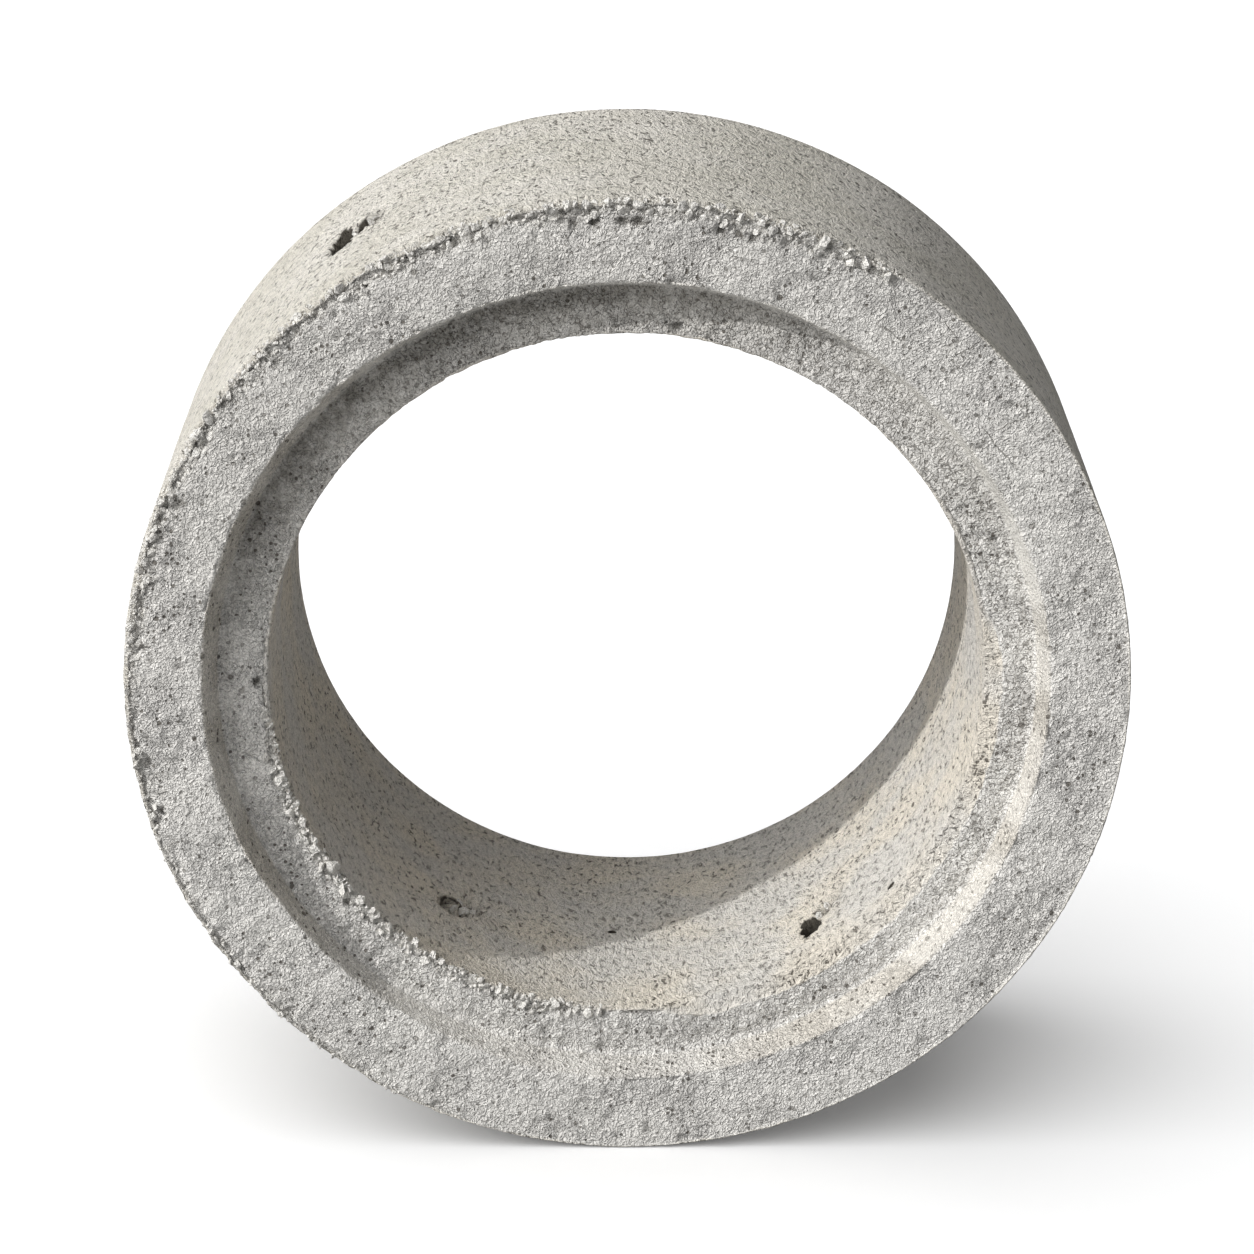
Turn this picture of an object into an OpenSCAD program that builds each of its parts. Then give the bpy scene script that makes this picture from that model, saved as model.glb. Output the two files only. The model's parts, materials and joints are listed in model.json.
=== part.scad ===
// Precast concrete manhole riser: one plain ring that stands in a stack of its own kind.
// One end has a rebate round the bore, and the other has the tongue that fits the rebate of the next ring.
// The ring is drawn standing on its rim, as it is rolled and stored. Its axis runs along Y, the rebate faces
// -Y, and the origin is on the floor under the middle of its length. All sizes are millimetres.

/* [Ring] */
// Diameter over the outside
outer_d = 840; // [740:10:1200]
// Diameter of the clear way through
bore_d = 600; // [300:10:700]
// Length between the bearing face and the shoulder of the tongue
ring_l = 350; // [200:10:900]

/* [Joint] */
// Depth of the rebate below the bearing face
rebate_depth = 28; // [18:1:60]
// Width of the ledge at the bottom of the rebate
ledge_w = 42; // [20:1:70]
// How far the side of the rebate leans out between the ledge and the mouth
rebate_lean = 11; // [0:1:20]
// Space between the side of the tongue and the side of the rebate, for mortar
side_gap = 4; // [2:0.5:8]
// Space between the tip of the tongue and the ledge of the ring that it enters
tip_gap = 3; // [1:0.5:6]

/* [Edges] */
// Radius of the worn outer edge at the bearing face
bearing_edge_r = 7; // [2:0.5:12]
// Radius of the soft edge at the mouth of the rebate
mouth_edge_r = 8; // [2:0.5:10]
// Radius of the hollow between the ledge and the side of the rebate
heel_r = 7; // [2:0.5:10]
// Radius of the edge where the ledge meets the bore
ledge_edge_r = 6; // [2:0.5:12]
// Radius of the edges at the tongue and the shoulder, which left the mould last
mould_edge_r = 4; // [1:0.5:6]

/* [Lifting holes] */
// Radius of the hole in the outside that takes a lifting pin
outside_hole_r = 13; // [8:0.5:20]
// Depth of the hole in the outside
outside_hole_depth = 60; // [30:1:90]
// Place of the hole in the outside, in degrees round the ring from +X towards the top
outside_hole_angle = 124; // [0:1:359]
// Distance of the hole in the outside from the bearing face
outside_hole_from_face = 165; // [60:1:290]
// Radius of the open hole in the bore
bore_hole_r = 9; // [6:0.5:14]
// Depth of the open hole in the bore
bore_hole_depth = 45; // [20:1:70]
// Place of the open hole in the bore, in degrees round the ring
bore_hole_angle = 302; // [0:1:359]
// Distance of the open hole in the bore from the bearing face
bore_hole_from_face = 98; // [60:1:290]
// Radius of the shallow pocket where a hole in the bore is choked with mortar
pocket_r = 16; // [8:0.5:24]
// Depth of the shallow pocket
pocket_depth = 12; // [5:1:40]
// Place of the shallow pocket, in degrees round the ring
pocket_angle = 240; // [0:1:359]
// Distance of the shallow pocket from the bearing face
pocket_from_face = 161; // [60:1:290]
// How much wider than the hole its broken mouth is, on the radius
mouth_spall_w = 5; // [1:0.5:10]
// Depth of the broken mouth of a hole
mouth_spall_depth = 6; // [1:0.5:12]

/* [Hidden] */

// Straight steps in each rounded edge of the ring's section
edge_steps = 4;
// Steps round the ring and round a hole, as they are drawn on the screen
ring_steps = 180;
hole_steps = 48;
// How far a cutting shape runs past the surface that it opens
past = 10;
concrete_grey = [0.72, 0.71, 0.68];

outer_r = outer_d / 2;
bore_r = bore_d / 2;
tongue_l = rebate_depth - tip_gap;
full_l = ring_l + tongue_l;
face_z = full_l;
shoulder_z = tongue_l;
ledge_z = face_z - rebate_depth;
heel_x = bore_r + ledge_w;
mouth_x = heel_x + rebate_lean;
root_x = mouth_x - side_gap;
tip_x = root_x - rebate_lean * tongue_l / rebate_depth;

// The corners of the section, anticlockwise. Each has its distance from the axis, its height above the tip
// of the tongue, and the radius that rounds it.
section_corners = [
    [bore_r, 0, mould_edge_r],
    [tip_x, 0, mould_edge_r],
    [root_x, shoulder_z, mould_edge_r],
    [outer_r, shoulder_z, mould_edge_r],
    [outer_r, face_z, bearing_edge_r],
    [mouth_x, face_z, mouth_edge_r],
    [heel_x, ledge_z, heel_r],
    [bore_r, ledge_z, ledge_edge_r],
];

function place(corner) = [corner[0], corner[1]];
function unit(v) = v / norm(v);
function bearing(v) = atan2(v[1], v[0]);
function short_way(angle) = angle > 180 ? angle - 360 : angle < -180 ? angle + 360 : angle;

// Points of the arc of radius r that rounds the corner `at`, between the corners `before` and `after`
function rounded(before, at, after, r) =
    let (
        u = unit(before - at),
        v = unit(after - at),
        half = acos(u * v) / 2,
        centre = at + unit(u + v) * r / sin(half),
        start = bearing(at + u * r / tan(half) - centre),
        sweep = short_way(bearing(at + v * r / tan(half) - centre) - start)
    )
    [
        for (i = [0:edge_steps])
        let (turn = start + sweep * i / edge_steps)
        centre + r * [cos(turn), sin(turn)]
    ];

function section_points(corners) =
    let (n = len(corners))
    [
        for (i = [0:n - 1])
        each rounded(
            place(corners[(i + n - 1) % n]), place(corners[i]), place(corners[(i + 1) % n]), corners[i][2]
        )
    ];

// Turns a shape that points along +Z so that it points outward from the ring's axis, at `angle` round the
// ring and at `from_face` from the bearing face
module radial(angle, from_face) {
    translate([0, 0, face_z - from_face])
        rotate([0, 0, angle])
            rotate([0, 90, 0])
                children();
}

// The cone that breaks the mouth of a hole wider. It runs as far past the surface as it is deep.
module broken_mouth(floor_r, top_r) {
    cylinder(h = 2 * mouth_spall_depth, r1 = floor_r, r2 = top_r, $fn = hole_steps);
}

// The lifting hole that starts at the outside and runs inward
module outside_hole() {
    mouth_r = outside_hole_r + 2 * mouth_spall_w;
    radial(outside_hole_angle, outside_hole_from_face) {
        translate([0, 0, outer_r - outside_hole_depth])
            cylinder(h = outside_hole_depth + past, r = outside_hole_r, $fn = hole_steps);
        translate([0, 0, outer_r - mouth_spall_depth])
            broken_mouth(outside_hole_r, mouth_r);
    }
}

// A hole of radius r that starts at the bore and runs outward by depth
module bore_side_hole(angle, from_face, r, depth) {
    mouth_r = r + 2 * mouth_spall_w;
    radial(angle, from_face) {
        translate([0, 0, bore_r - past])
            cylinder(h = past + depth, r = r, $fn = hole_steps);
        translate([0, 0, bore_r - mouth_spall_depth])
            broken_mouth(mouth_r, r);
    }
}

// The ring on its end, with the tongue at the bottom and the rebate at the top
module ring_on_end() {
    difference() {
        rotate_extrude($fn = ring_steps)
            polygon(section_points(section_corners));
        outside_hole();
        bore_side_hole(bore_hole_angle, bore_hole_from_face, bore_hole_r, bore_hole_depth);
        bore_side_hole(pocket_angle, pocket_from_face, pocket_r, pocket_depth);
    }
}

module riser() {
    color(concrete_grey)
        translate([0, full_l / 2, outer_r])
            rotate([90, 0, 0])
                ring_on_end();
}

riser();
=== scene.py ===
# %% [markdown]
# # A precast concrete manhole riser
# A riser is a plain ring of concrete that stands in a stack of its own kind and carries a shaft up to the
# ground. One end has a rebate round the bore, and the other end has the tongue that fits such a rebate. The
# ring here stands on its rim, as it is rolled about a yard.
#
# The construction comes packed as a fixed frame, exact and smooth. This script gives the same ring the
# skin of real cast concrete: lumpy ends, a broken arris, blow holes, torn lifting holes and the grey of
# dry cement.

# %% Load the frame
import json
import math
import random

import bmesh
import bpy
import numpy as np
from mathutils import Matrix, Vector, noise


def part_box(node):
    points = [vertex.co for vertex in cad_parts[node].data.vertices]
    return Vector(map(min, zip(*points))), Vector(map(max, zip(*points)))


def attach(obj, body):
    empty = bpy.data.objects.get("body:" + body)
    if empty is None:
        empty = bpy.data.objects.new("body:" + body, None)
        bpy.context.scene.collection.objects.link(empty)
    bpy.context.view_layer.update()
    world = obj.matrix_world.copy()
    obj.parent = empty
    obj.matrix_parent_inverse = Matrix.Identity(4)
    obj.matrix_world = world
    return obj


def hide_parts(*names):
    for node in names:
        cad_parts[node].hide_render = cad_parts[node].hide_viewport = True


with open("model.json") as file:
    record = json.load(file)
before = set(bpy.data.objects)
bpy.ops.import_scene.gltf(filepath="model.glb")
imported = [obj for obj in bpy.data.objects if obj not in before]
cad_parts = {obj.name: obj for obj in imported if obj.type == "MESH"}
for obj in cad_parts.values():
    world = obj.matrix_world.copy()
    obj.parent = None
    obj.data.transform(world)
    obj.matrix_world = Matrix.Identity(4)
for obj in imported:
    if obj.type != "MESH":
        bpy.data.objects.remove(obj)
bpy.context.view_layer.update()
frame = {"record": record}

# %% [markdown]
# ## Sizes of the casting
# Every size that the frame holds is read from it, so that the skin fits the construction: the outside and
# the length come from the node's box, and the bore, the ledge, the shoulder and the holes from the
# mounts. Only the small sizes inside the joint are given here, in metres.

# %% Sizes of the casting
mounts = {mount["name"]: mount for mount in frame["record"]["mounts"]}
low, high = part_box("riser")
outer_r = (high.z - low.z) / 2
centre_z = (high.z + low.z) / 2
face_y = low.y
tip_y = high.y
bore_r = mounts["way_through"]["dims"]["r_mm"] / 1000
ledge_y = mounts["rebate_ledge"]["pos_m"][1]
shoulder_y = mounts["tongue_shoulder"]["pos_m"][1]

ledge_w = 0.042
rebate_lean = 0.011
mortar_gap = 0.004

heel_r = bore_r + ledge_w
mouth_r = heel_r + rebate_lean
root_r = mouth_r - mortar_gap
tip_r = root_r - rebate_lean * (tip_y - shoulder_y) / (ledge_y - face_y)
print(f"outside {outer_r:.4f}, bore {bore_r:.3f}, rebate mouth {mouth_r:.3f}, tongue tip {tip_r:.4f}")

# %% [markdown]
# ## The section, as stations
# The ring is one closed section swept round its axis. The section is walked once: from the outer arris
# across the bearing face, through the rebate and the bore, round the tongue and back along the barrel. At
# each station the walk notes how far it is from the axis, where it is along the axis, and which way is
# out of the concrete. A corner is an arc of a few steps, because no edge of a casting stays sharp.
#
# A mesh has a budget, so the stations lie close together where the relief is coarse, at the open end, and
# far apart on the plain walls that the mould left smooth.

# %% Corners of the section
# Distances between stations: where the relief is coarse, on the tongue, and on the plain walls
CLOSE = 0.00276
TONGUE_PITCH = 0.0085
WALL_PITCH = 0.0115
TONGUE_EDGE = 0.004
# Each corner: distance from the axis, place along the axis, radius, steps in its arc; and then the
# stretch that follows it: its name and the distance between its stations.
CORNERS = [
    (outer_r, face_y, 0.0026, 3, "bearing", CLOSE),
    (mouth_r, face_y, 0.0045, 4, "rebate_side", CLOSE),
    (heel_r, ledge_y, 0.0020, 2, "ledge", CLOSE),
    (bore_r, ledge_y, 0.0030, 3, "bore", WALL_PITCH),
    (bore_r, tip_y, TONGUE_EDGE, 2, "tongue_tip", TONGUE_PITCH),
    (tip_r, tip_y, TONGUE_EDGE, 2, "tongue_side", TONGUE_PITCH),
    (root_r, shoulder_y, TONGUE_EDGE, 2, "shoulder", TONGUE_PITCH),
    (outer_r, shoulder_y, TONGUE_EDGE, 2, "barrel", WALL_PITCH),
]
ZONES = [corner[4] for corner in CORNERS]
print("the section runs along", ", ".join(ZONES))

# %% Arcs of the corners, and spacing between them
CLOSE_ZONES = {"bearing", "rebate_side", "ledge"}
CLOSE_ROWS = 5


def corner_arc(before, at, after, radius):
    """Where a corner's arc starts and ends, its centre, its first angle and the angle that it turns
    through."""
    back = (before - at).normalized()
    ahead = (after - at).normalized()
    half = back.angle(ahead) / 2
    reach = radius / math.tan(half)
    centre = at + (back + ahead).normalized() * radius / math.sin(half)
    start = at + back * reach
    end = at + ahead * reach
    first = math.atan2(*(start - centre).yx)
    turn = math.remainder(math.atan2(*(end - centre).yx) - first, 2 * math.pi)
    return start, end, centre, first, turn


def spaced(length, pitch, name):
    """Distances of the stations inside a straight stretch. The plain walls start with rows set close
    together."""
    count = max(1, round(length / pitch))
    even = [length * step / count for step in range(1, count)]
    near = [CLOSE * step for step in range(1, CLOSE_ROWS + 1)]
    if name == "bore":
        return near + [place for place in even if place > near[-1] + pitch / 2]
    if name == "barrel":
        plain = [place for place in even if place < length - near[-1] - pitch / 2]
        return plain + [length - place for place in reversed(near)]
    return even


print("across the ledge there is room for", len(spaced(ledge_w, CLOSE, "ledge")), "stations")

# %% Walk the section


def walk_section():
    """Every station: its place (distance from the axis, place along it), the outward direction, the
    zone before it and its own, the share of its own, and whether it lies close to its neighbours."""
    places = [Vector(corner[:2]) for corner in CORNERS]
    arcs = [
        corner_arc(places[index - 1], places[index], places[(index + 1) % len(places)], CORNERS[index][2])
        for index in range(len(places))
    ]
    walked = []
    for index, (_, _, radius, steps, name, pitch) in enumerate(CORNERS):
        _, end, centre, first, turn = arcs[index]
        last_name = ZONES[index - 1]
        close = name in CLOSE_ZONES or last_name in CLOSE_ZONES
        for step in range(steps + 1):
            angle = first + turn * step / steps
            ray = Vector((math.cos(angle), math.sin(angle)))
            outward = -ray if turn > 0 else ray
            walked.append((centre + radius * ray, outward, last_name, name, step / steps, close))
        run = arcs[(index + 1) % len(arcs)][0] - end
        along = run.normalized()
        outward = Vector((-along.y, along.x))
        for distance in spaced(run.length, pitch, name):
            beside = name == "bore" and distance < CLOSE * (CLOSE_ROWS + 0.5)
            beside = beside or (name == "barrel" and run.length - distance < CLOSE * (CLOSE_ROWS + 0.5))
            walked.append((end + along * distance, outward, name, name, 1.0, name in CLOSE_ZONES or beside))
    return walked


stations = walk_section()
close_count = sum(close for *_, close in stations)
print(len(stations), "stations round the section, of which", close_count, "lie close together")

# %% [markdown]
# ## The grid
# Each station becomes a row of points round the axis. Rows that lie close together have twice the points
# of the others, and a strip of triangles joins the two kinds, so the mesh stays closed with no crack. A
# list of plain numbers for each point (angle, distance from the axis, place along it, outward direction,
# zone shares) is easier to work on than a mesh: the mesh is made at the very end.

# %% Points of the grid
FULL_COUNT = 880
HALF_COUNT = FULL_COUNT // 2
FIRST_SHARE = 7
points = []
rows = []


def add_point(angle, r, y, out_r, out_y, shares, sunk=0.0, floor=1.0):
    """Adds one point of the skin and returns its number. `sunk` is how far a hole has taken it inward, and
    `floor` is the depth of that hole. The shares of the zones come after FIRST_SHARE other numbers."""
    points.append((angle, r, y, out_r, out_y, sunk, sunk / floor, *shares))
    return len(points) - 1


def zone_shares(zone_from, zone_to, share):
    """How much of a point belongs to each zone."""
    shares = dict.fromkeys(ZONES, 0.0)
    shares[zone_from] += 1 - share
    shares[zone_to] += share
    return tuple(shares.values())


for place, outward, zone_from, zone_to, share, close in stations:
    count = FULL_COUNT if close else HALF_COUNT
    shares = zone_shares(zone_from, zone_to, share)
    turn_step = 2 * math.pi / count
    rows.append([add_point(turn_step * k, *place, *outward, shares) for k in range(count)])
print(len(points), "points in", len(rows), "rows")

# %% [markdown]
# ## Openings in the grid
# The lifting holes and the largest hollows need finer points than the plain walls have. A block of the
# grid is left out there, and rings of points run from the block's edge to the mouth of the hole, over its
# lip, down its wall and across its floor. Every ring has as many points as the block's edge, so all the
# faces are quads.

# %% Where the holes are


def round_place(mount):
    """A hole's angle round the ring, its place along the axis, its distance from the axis at mid-length."""
    x, y, z = mount["pos_m"]
    return math.atan2(z - centre_z, x) % (2 * math.pi), y, math.hypot(x, z - centre_z)


def hole_from_mount(name, wall_r):
    """A hole's angle, its place along the axis, its radius and its depth below a wall."""
    mount = mounts[name]
    angle, y, middle_r = round_place(mount)
    depth = abs(wall_r - middle_r) + mount["dims"]["length_mm"] / 2000
    return angle, y, mount["dims"]["r_mm"] / 1000, depth


outside_hole = hole_from_mount("outside_lifting_hole", outer_r)
bore_hole = hole_from_mount("bore_lifting_hole", bore_r)
# The pocket and the pits take no pin, so the mounts don't hold them.
choked_pocket = (math.radians(240), face_y + 0.161, 0.016, 0.012)
slot_pit = (math.radians(319), face_y + 0.057, 0.0042, 0.006)
shadow_pit = (math.radians(267.5), face_y + 0.195, 0.0040, 0.005)
print(f"the outside hole is {outside_hole[3]:.3f} deep and the bore's hole {bore_hole[3]:.3f}")

# %% A block of the grid, and the points round it
left_out = set()


def nearest_row(y, zone):
    """The row of a plain wall that lies nearest to a place along the axis."""
    found = []
    for row, (_, _, zone_from, zone_to, _, close) in enumerate(stations):
        if zone_from == zone_to == zone and not close:
            found.append(row)
    return min(found, key=lambda row: abs(stations[row][0].y - y))


def along_row(row, start, end):
    """The points of a row from one column to the next but one end, either way. Columns count half rows."""
    count = len(rows[row])
    step = math.copysign(HALF_COUNT / count, end - start)
    columns = [round((start + step * k) * count / HALF_COUNT) for k in range(round((end - start) / step))]
    return [rows[row][column % count] for column in columns]


def leave_out_block(middle_row, middle_column, half_rows, half_columns):
    """Leaves out a block of the grid and returns the points round its edge, in order."""
    top = middle_row - half_rows
    bottom = middle_row + half_rows
    left = middle_column - half_columns
    right = middle_column + half_columns
    for row in range(top, bottom):
        left_out.update((row, column % HALF_COUNT) for column in range(left, right))
    edge = along_row(top, left, right)
    for row in range(top, bottom):
        edge += along_row(row, right, right + 1)[:1]
    edge += along_row(bottom, right, left)
    for row in range(bottom, top, -1):
        edge += along_row(row, left, left + 1)[:1]
    return edge


def even_rays(corners):
    """As many rays as corners, evenly spaced. They start at the first corner and turn the way the
    corners do."""
    first = math.atan2(corners[0].y, corners[0].x)
    way = 1 if corners[0].cross(corners[1]) > 0 else -1
    turns = [first + way * 2 * math.pi * k / len(corners) for k in range(len(corners))]
    return [Vector((math.cos(turn), math.sin(turn))) for turn in turns]


print("the outside hole lies at row", nearest_row(outside_hole[1], "barrel"))

# %% Cut the openings into the grid
RING_PITCH = 0.0032
WALL_STEP = 0.004
faces = []


def join_rings(rings):
    """Quads between each ring of points and the next."""
    count = len(rings[0])
    for outer_ring, inner_ring in zip(rings, rings[1:]):
        for k in range(count):
            after = (k + 1) % count
            faces.append((outer_ring[k], outer_ring[after], inner_ring[after], inner_ring[k]))


def open_hole(hole, zone, half_columns, half_rows, lip=0.0012, floor_shares=(0.8, 0.5, 0.25)):
    """Leaves out a block of the grid and fills it with rings that lead into a round hole."""
    angle, y, radius, depth = hole
    column = round(angle / (2 * math.pi) * HALF_COUNT)
    edge = leave_out_block(nearest_row(y, zone), column, half_rows, half_columns)
    _, wall_r, _, out_r = points[edge[0]][:4]
    shares = points[edge[0]][FIRST_SHARE:]
    corners = []
    for number in edge:
        across = math.remainder(points[number][0] - angle, 2 * math.pi) * wall_r
        corners.append(Vector((across, points[number][2] - y)))
    rays = even_rays(corners)

    def add_ring(places, sunk):
        ring = []
        for place in places:
            turn = angle + place.x / wall_r
            ring.append(add_point(turn, wall_r, y + place.y, out_r, 0.0, shares, sunk, depth))
        return ring

    mouth = radius + lip
    reach = min(corner.length for corner in corners) - mouth
    steps = max(2, round(reach / RING_PITCH))
    rings = [edge]
    for step in range(1, steps):
        share = (step / steps) ** 0.8
        rings.append(add_ring([corner.lerp(ray * mouth, share) for corner, ray in zip(corners, rays)], 0.0))
    rings.append(add_ring([ray * mouth for ray in rays], 0.0))
    rings.append(add_ring([ray * (radius + lip * 0.3) for ray in rays], lip * 0.5))
    wall_steps = max(2, round((depth - 3 * lip) / WALL_STEP))
    for step in range(wall_steps + 1):
        sunk = lip * 1.5 + (depth - lip * 3) * step / wall_steps
        rings.append(add_ring([ray * radius for ray in rays], sunk))
    for share in floor_shares:
        rings.append(add_ring([ray * radius * share for ray in rays], depth))
    join_rings(rings)
    centre = add_point(angle, wall_r, y, out_r, 0.0, shares, depth, depth)
    last = rings[-1]
    faces.extend((last[k], last[(k + 1) % len(last)], centre) for k in range(len(last)))


POCKET_FLOOR = (0.88, 0.75, 0.62, 0.48, 0.34, 0.2, 0.1)
open_hole(outside_hole, "barrel", half_columns=8, half_rows=4)
open_hole(bore_hole, "bore", half_columns=9, half_rows=3)
open_hole(choked_pocket, "bore", half_columns=9, half_rows=3, lip=0.002, floor_shares=POCKET_FLOOR)
open_hole(slot_pit, "bore", half_columns=4, half_rows=1, lip=0.0008)
open_hole(shadow_pit, "bore", half_columns=4, half_rows=1, lip=0.0008)
print(len(points), "points with the openings")

# %% Faces of the grid
for row_number, row in enumerate(rows):
    next_row = rows[(row_number + 1) % len(rows)]
    if len(row) == len(next_row):
        for k in range(len(row)):
            if (row_number, k) in left_out and len(row) == HALF_COUNT:
                continue
            after = (k + 1) % len(row)
            faces.append((row[k], row[after], next_row[after], next_row[k]))
        continue
    full, half = (row, next_row) if len(row) > len(next_row) else (next_row, row)
    for k in range(HALF_COUNT):
        if (row_number, k) in left_out:
            continue
        after = (k + 1) % HALF_COUNT
        a, b, c = full[2 * k], full[2 * k + 1], full[(2 * k + 2) % FULL_COUNT]
        strip = [(a, b, half[k]), (b, half[after], half[k]), (b, c, half[after])]
        faces.extend(strip if full is row else [triangle[::-1] for triangle in strip])
print(len(faces), "faces")

# %% [markdown]
# ## From numbers to places
# The list turns into arrays, so that each step of the relief works on all the points at once. A few noise
# functions follow. They are measured in metres: the size of one lump is what a caster would call the grain.

# %% Arrays
table = np.array(points)
angle, radial, along, out_r, out_y, sunk, sunk_share = table[:, :FIRST_SHARE].T
share_of = {name: table[:, FIRST_SHARE + index] for index, name in enumerate(ZONES)}
turned = np.stack([np.cos(angle), np.zeros(len(angle)), np.sin(angle)], axis=1)
outward = turned * out_r[:, None]
outward[:, 1] = out_y
axis_point = np.array([0.0, 0.0, centre_z])
rest = turned * radial[:, None] + axis_point
rest[:, 1] = along
degrees = np.degrees(angle) % 360
print("each point has", table.shape[1], "numbers")

# %% Noise, steps and windows


def grain(size, seed, octaves=1):
    """Smooth noise of about -1 to 1 at every point. `size` is the width of a lump in metres, `seed` picks
    another cloud of the same kind, and more `octaves` add finer lumps."""
    offset = Vector((seed * 3.7, seed * 7.1, seed * 1.9))
    scaled = (rest - outward * sunk[:, None]) / size
    return np.array([noise.fractal(Vector(place) + offset, 1.0, 2.0, octaves) for place in scaled])


def smooth(low_value, high_value, values):
    """0 below low_value, 1 above high_value, and a soft step between them."""
    step = np.clip((values - low_value) / (high_value - low_value), 0, 1)
    return step * step * (3 - 2 * step)


def round_window(start, end, soft):
    """1 between two angles in degrees round the ring, with soft ends, and 0 elsewhere. An angle of 0 is at
    the right of the open end, and 90 is at its top."""
    middle, half = (start + end) / 2, (end - start) / 2
    away = np.abs((degrees - middle + 180) % 360 - 180)
    return 1 - smooth(half - soft / 2, half + soft / 2, away)


rough_end = share_of["bearing"] + share_of["ledge"] + share_of["rebate_side"]
moulded = share_of["barrel"] + share_of["bore"]
far_end = share_of["shoulder"] + share_of["tongue_tip"] + share_of["tongue_side"]
print(int(rough_end.sum()), "points on the open end,", int(moulded.sum()), "on the barrel and the bore")

# %% [markdown]
# ## Relief
# A casting loses concrete from its nominal shape, so each kind of relief says how much the skin lies
# inside the drawn surface. The one exception is the mouth of the rebate, which the trowel has dragged a
# few millimetres toward the axis in places. The open end was struck off by hand and is lumpy. The barrel
# and the bore took the shape of the mould and are nearly flat, and so is the end that stood on the
# pallet.

# %% The worn lip of the bore, and the rebate's uneven mouth
from_outside = outer_r - radial
from_face = along - face_y
from_bore = radial - bore_r
from_ledge = along - ledge_y
smooth_lip = round_window(277, 370, 14)
lip_wide = 0.001 + 0.0150 * smooth_lip * (1 + 0.12 * grain(0.02, 41, 2))
lip_wide += 0.0060 * (round_window(172, 200, 20) + round_window(14, 34, 12))
lip_deep = 0.5 * lip_wide
at_lip = share_of["ledge"] + share_of["bore"] > 0.99
lip_cut = at_lip * np.clip(1 - from_bore / lip_wide - from_ledge / lip_deep, 0, 1)
lip = smooth_lip * smooth(0.0, 0.35, lip_cut * (1 + 0.8 * grain(0.007, 42, 2)))
print(f"the lip of the bore is worn up to {lip_wide.max() * 1000:.1f} mm wide")

# How far the mouth of the rebate has been dragged toward the axis, and where on the section
mouth_in = 0.0038 * round_window(34, 125, 40) + 0.0024 * round_window(-35, 34, 40)
mouth_in += 0.0045 * round_window(206, 250, 24)
at_mouth = share_of["bearing"] * (1 - smooth(0.0, 0.012, radial - mouth_r))
at_mouth += share_of["rebate_side"] * np.clip(1 - from_face / (ledge_y - face_y), 0, 1)
print(f"the mouth of the rebate is up to {mouth_in.max() * 1000:.1f} mm nearer the axis")

# %% Where the struck end is lumpy
wide_wave = grain(0.11, 1, 2)
hand_wave = grain(0.035, 2, 2)
lump = grain(0.0105, 3, 2)
fine_lump = grain(0.0060, 4)
struck_patch = smooth(-0.30, 0.35, grain(0.055, 5, 2))
struck_patch *= 1 - 0.8 * round_window(32, 62, 16) * (1 - smooth(mouth_r + 0.018, mouth_r + 0.032, radial))
mouth_edge = 4 * share_of["bearing"] * share_of["rebate_side"]

coarse_band = smooth(outer_r - 0.030, outer_r - 0.006, radial) * share_of["bearing"]
coarse_band *= round_window(60, 240, 30)
lumpiness = rough_end * (0.35 + 0.65 * struck_patch + 0.5 * coarse_band)
lumpiness *= (1 - 0.6 * share_of["rebate_side"]) * (1 - 0.8 * lip)
print(f"the lumpiness of the struck end reaches {lumpiness.max():.2f}")

# %% Lumps and waves of the skin
WAVE_DEPTH = 0.0004
HAND_DEPTH = 0.0006
LUMP_DEPTH = 0.0016
FINE_DEPTH = 0.0013
WEAR_DEPTH = 0.0016
MOUTH_DEPTH = 0.0005
MOULD_DEPTH = 0.00015
PALLET_DEPTH = 0.0003
removed = WAVE_DEPTH * (1 + wide_wave)
removed += rough_end * HAND_DEPTH * (1 + hand_wave)
removed += lumpiness * (LUMP_DEPTH * (0.9 + lump) + FINE_DEPTH * (0.8 + fine_lump))
removed += WEAR_DEPTH * lip
removed += mouth_edge * MOUTH_DEPTH * (1 + grain(0.012, 7, 2))
removed += moulded * MOULD_DEPTH * (1 + lump) + far_end * PALLET_DEPTH * (1 + lump)
print(f"the lumps take up to {removed.max() * 1000:.1f} mm off the skin")

# %% [markdown]
# ## Breakage
# The arris at the open end is where a ring is rolled, levered and dropped on, and pieces have come away
# from it. Broken concrete shows its stones: each stands up from the paste round it, and the place of a
# lost one is a hollow. A cloud of cells makes such a surface. A point lies high in the middle of its cell
# and low at the border, and each cell has a height of its own.

# %% A cloud of stones
HALF_WAY = Vector((0.5, 0.5, 0.5))


def stones(size, seed, where, share=1.0):
    """How deep a point lies among stones of that size: 0 on the tallest stones, 1 in the paste between
    them. Only a share of the cells hold a stone."""
    offset = Vector((seed * 2.3, seed * 5.9, seed * 4.1))
    depth = np.ones(len(rest))
    for number in np.flatnonzero(where > 0.01):
        place = Vector(rest[number]) / size + offset
        distances, centres, *_ = noise.voronoi(place, distance_metric="MANHATTAN")
        chance = 0.5 + 0.5 * noise.cell(centres[0] * 9.0)
        if chance > share:
            continue
        rise = min(1.0, (distances[1] - distances[0]) / 0.35)
        tilt = (noise.cell_vector(centres[0] * 5.0) - HALF_WAY).dot(place - centres[0])
        depth[number] = min(1.0, max(0.0, 1 - rise * (1 - 0.5 * chance / share + 0.7 * tilt)))
    return depth


torn = 0.005 * grain(0.012, 31, 2)
patchy = smooth(-0.35, 0.15, grain(0.045, 32, 2))
print(f"a torn border wanders by up to {np.abs(torn).max() * 1000:.1f} mm")

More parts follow.
